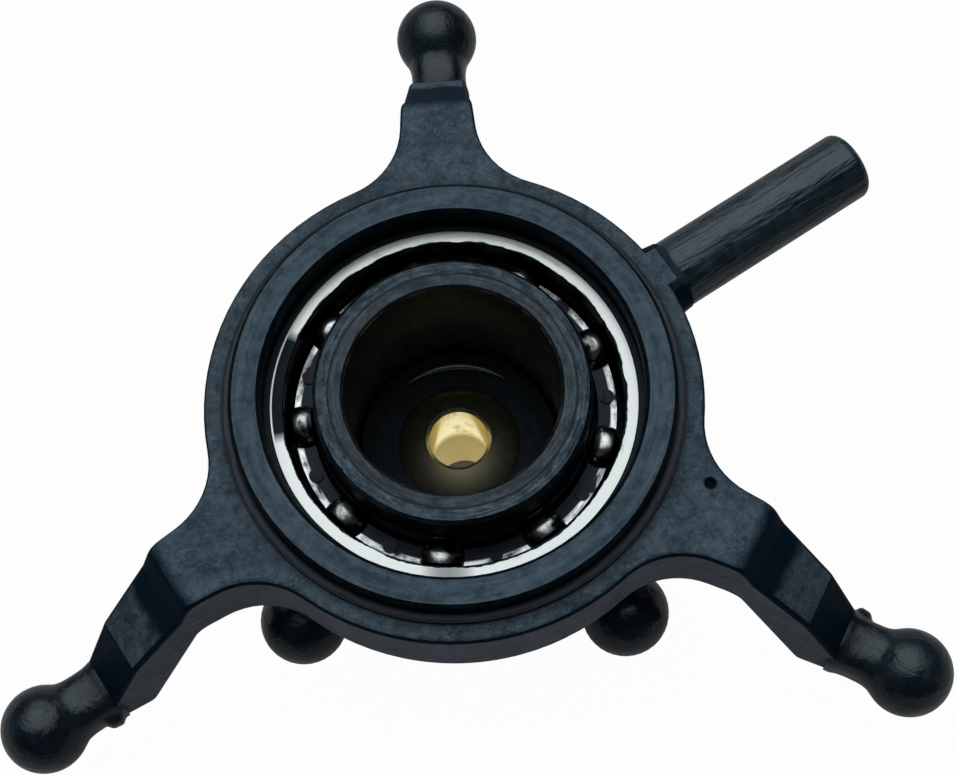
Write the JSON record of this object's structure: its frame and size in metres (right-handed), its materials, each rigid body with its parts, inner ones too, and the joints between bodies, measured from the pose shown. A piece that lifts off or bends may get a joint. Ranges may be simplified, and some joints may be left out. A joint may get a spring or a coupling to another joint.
{
  "type": "helicopter swashplate",
  "caption": "Swashplate of a small helicopter: cranked ball-stud arms round a ball bearing, a rotating hub with link balls and a tilting brass pivot ball for the shaft.",
  "frame": {"origin": "centre of the pivot ball, on the shaft axis and in the plane of all the control balls", "axes": "+Z along the shaft bore, out of the open side of the bearing; +Y along servo arm 1; the guide pin lies 30 degrees from +X"},
  "size_m": [0.0324, 0.0284, 0.0109],
  "materials": {
    "star_plastic": "fine-grained moulded glass-filled nylon, near black",
    "housing_plastic": "turned, satin, near black",
    "race_steel": "ground and polished",
    "ball_steel": "polished bearing steel",
    "cage_steel": "pressed bright sheet",
    "hub_plastic": "moulded, near black",
    "ring_plastic": "turned, satin, near black",
    "seat_plastic": "smooth bearing plastic, black",
    "pivot_brass": "polished brass",
    "stud_gloss": "smooth glossy black",
    "pin_gloss": "glossy black with drawn streaks along it"
  },
  "bodies": {
    "fixed_swash": {"fixed_star": "star_plastic", "bearing_housing": "housing_plastic", "bearing_outer_race": "race_steel", "servo_ball_stud_1": "stud_gloss", "servo_ball_stud_2": "stud_gloss", "servo_ball_stud_3": "stud_gloss", "anti_rotation_pin": "pin_gloss"},
    "rotating_swash": {"rotating_hub": "hub_plastic", "hub_retaining_ring": "ring_plastic", "bearing_inner_race": "race_steel", "ball_retainer_ring": "ring_plastic", "link_ball_stud_1": "stud_gloss", "link_ball_stud_2": "stud_gloss", "link_ball_stud_3": "stud_gloss", "link_ball_stud_4": "stud_gloss"},
    "bearing_cage": {"cage_upper_half": "cage_steel", "cage_lower_half": "cage_steel", "cage_rivets": "cage_steel", "bearing_ball_1": "ball_steel", "bearing_ball_2": "ball_steel", "bearing_ball_3": "ball_steel", "bearing_ball_4": "ball_steel", "bearing_ball_5": "ball_steel", "bearing_ball_6": "ball_steel", "bearing_ball_7": "ball_steel", "bearing_ball_8": "ball_steel", "bearing_ball_9": "ball_steel"},
    "ball_seat": {"ball_seat_upper": "seat_plastic", "ball_seat_lower": "seat_plastic"},
    "pivot": {"pivot_ball": "pivot_brass"}
  },
  "joints": [
    {"name": "hub_spin", "type": "hinge", "parent": "fixed_swash", "child": "rotating_swash", "pos_m": [0, 0, 0.0054], "axis": [0, 0, 1], "continuous": true},
    {"name": "cage_spin", "type": "hinge", "parent": "fixed_swash", "child": "bearing_cage", "pos_m": [0, 0, 0.0054], "axis": [0, 0, 1], "continuous": true},
    {"name": "seat_tilt", "type": "hinge", "parent": "rotating_swash", "child": "ball_seat", "pos_m": [0, 0, 0], "axis": [1, 0, 0], "range_deg": [-15, 15]},
    {"name": "ball_tilt", "type": "hinge", "parent": "ball_seat", "child": "pivot", "pos_m": [0, 0, 0], "axis": [0, 1, 0], "range_deg": [-15, 15]}
  ],
  "couplings": [
    {"joint": "cage_spin", "follows": "hub_spin", "ratio": 0.44}
  ]
}
